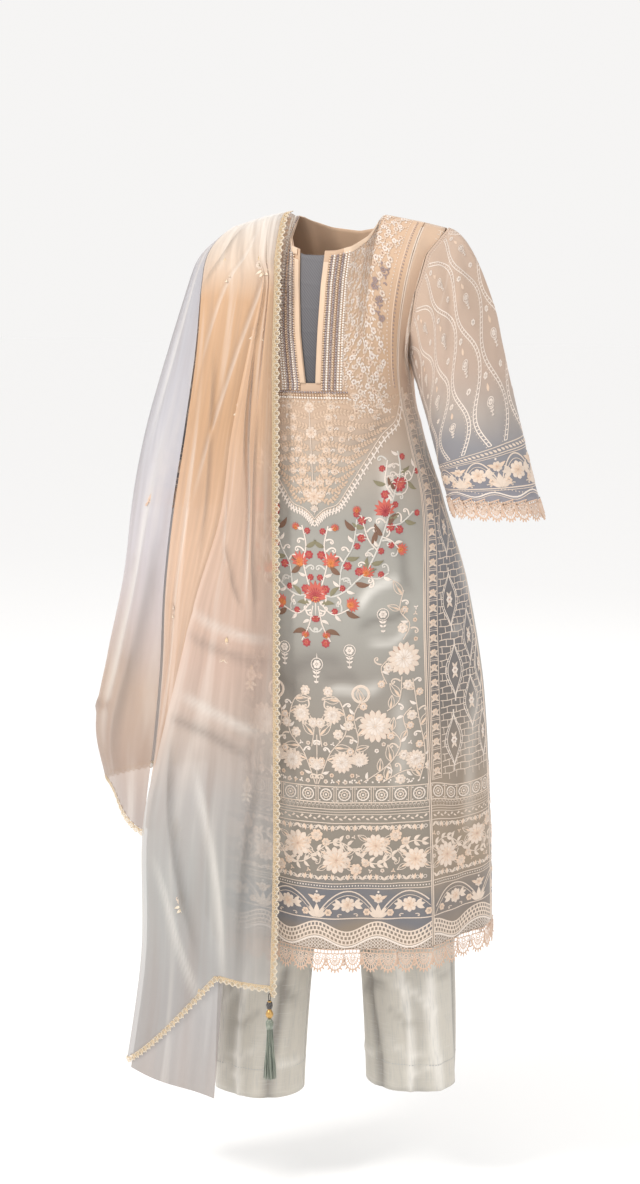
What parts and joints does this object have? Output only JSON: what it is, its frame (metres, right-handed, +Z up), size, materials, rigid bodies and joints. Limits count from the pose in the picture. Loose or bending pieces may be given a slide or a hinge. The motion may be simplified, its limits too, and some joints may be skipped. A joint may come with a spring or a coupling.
{
  "type": "straight kurta set with dupatta, in worn form",
  "caption": "Long straight kurta with lace hem and three-quarter sleeves, straight trousers and a sheer dupatta with a tassel, hollow and posed as worn.",
  "frame": {"origin": "between the two side-neck points of the kurta, at the height where it rests on the wearer's shoulders", "axes": "+Z up, the wearer faces -Y, +X towards the wearer's left"},
  "size_m": [0.7222, 0.3513, 1.3551],
  "materials": {
    "kurta_cloth": "fine lawn, peach at the yoke fading to grey-green, with a soft satin lustre",
    "side_cloth": "slate and peach organza with a netted brick embroidery",
    "insert_cloth": "plain charcoal cloth with a faint diagonal twill",
    "embroidery_thread": "raised cream, pink, coral and brown thread",
    "beadwork": "small white, gold and mauve beads in rows",
    "crochet_lace": "cream-pink crochet lace",
    "sleeve_organza": "half-sheer organza, peach at the shoulder fading to slate blue",
    "trouser_cloth": "pale grey-blue slubby cloth",
    "dupatta_sheer": "sheer organza, cream, peach, pink, lavender and grey in soft bands",
    "dupatta_lace": "narrow gold-cream looped lace",
    "gold_metal": "polished gold-coloured beads",
    "tassel_thread": "grey-green silky thread"
  },
  "bodies": {
    "root": {"front_panel": "kurta_cloth", "back_panel": "kurta_cloth", "side_panel_left": "side_cloth", "side_panel_right": "side_cloth", "slit_insert": "insert_cloth", "slit_strip_left": "embroidery_thread", "slit_strip_right": "embroidery_thread", "neck_strip_left": "beadwork", "neck_strip_right": "beadwork", "neck_strip_back": "beadwork", "hem_lace_front": "crochet_lace", "hem_lace_back": "crochet_lace", "sleeve_left": "sleeve_organza", "sleeve_right": "sleeve_organza", "sleeve_lace_left_outer": "crochet_lace", "sleeve_lace_left_inner": "crochet_lace", "sleeve_lace_right_outer": "crochet_lace", "sleeve_lace_right_inner": "crochet_lace", "trouser_leg_right": "trouser_cloth", "trouser_leg_left": "trouser_cloth", "waistband": "trouser_cloth", "dupatta_front": "dupatta_sheer", "dupatta_under": "dupatta_sheer", "dupatta_middle": "dupatta_sheer", "dupatta_outer": "dupatta_sheer", "dupatta_back": "dupatta_sheer", "dupatta_lace_front_edge": "dupatta_lace", "dupatta_lace_front_hem": "dupatta_lace", "dupatta_lace_outer_hem": "dupatta_lace", "dupatta_lace_back_hem": "dupatta_lace", "tassel_beads": "gold_metal", "tassel": "tassel_thread"}
  },
  "joints": []
}
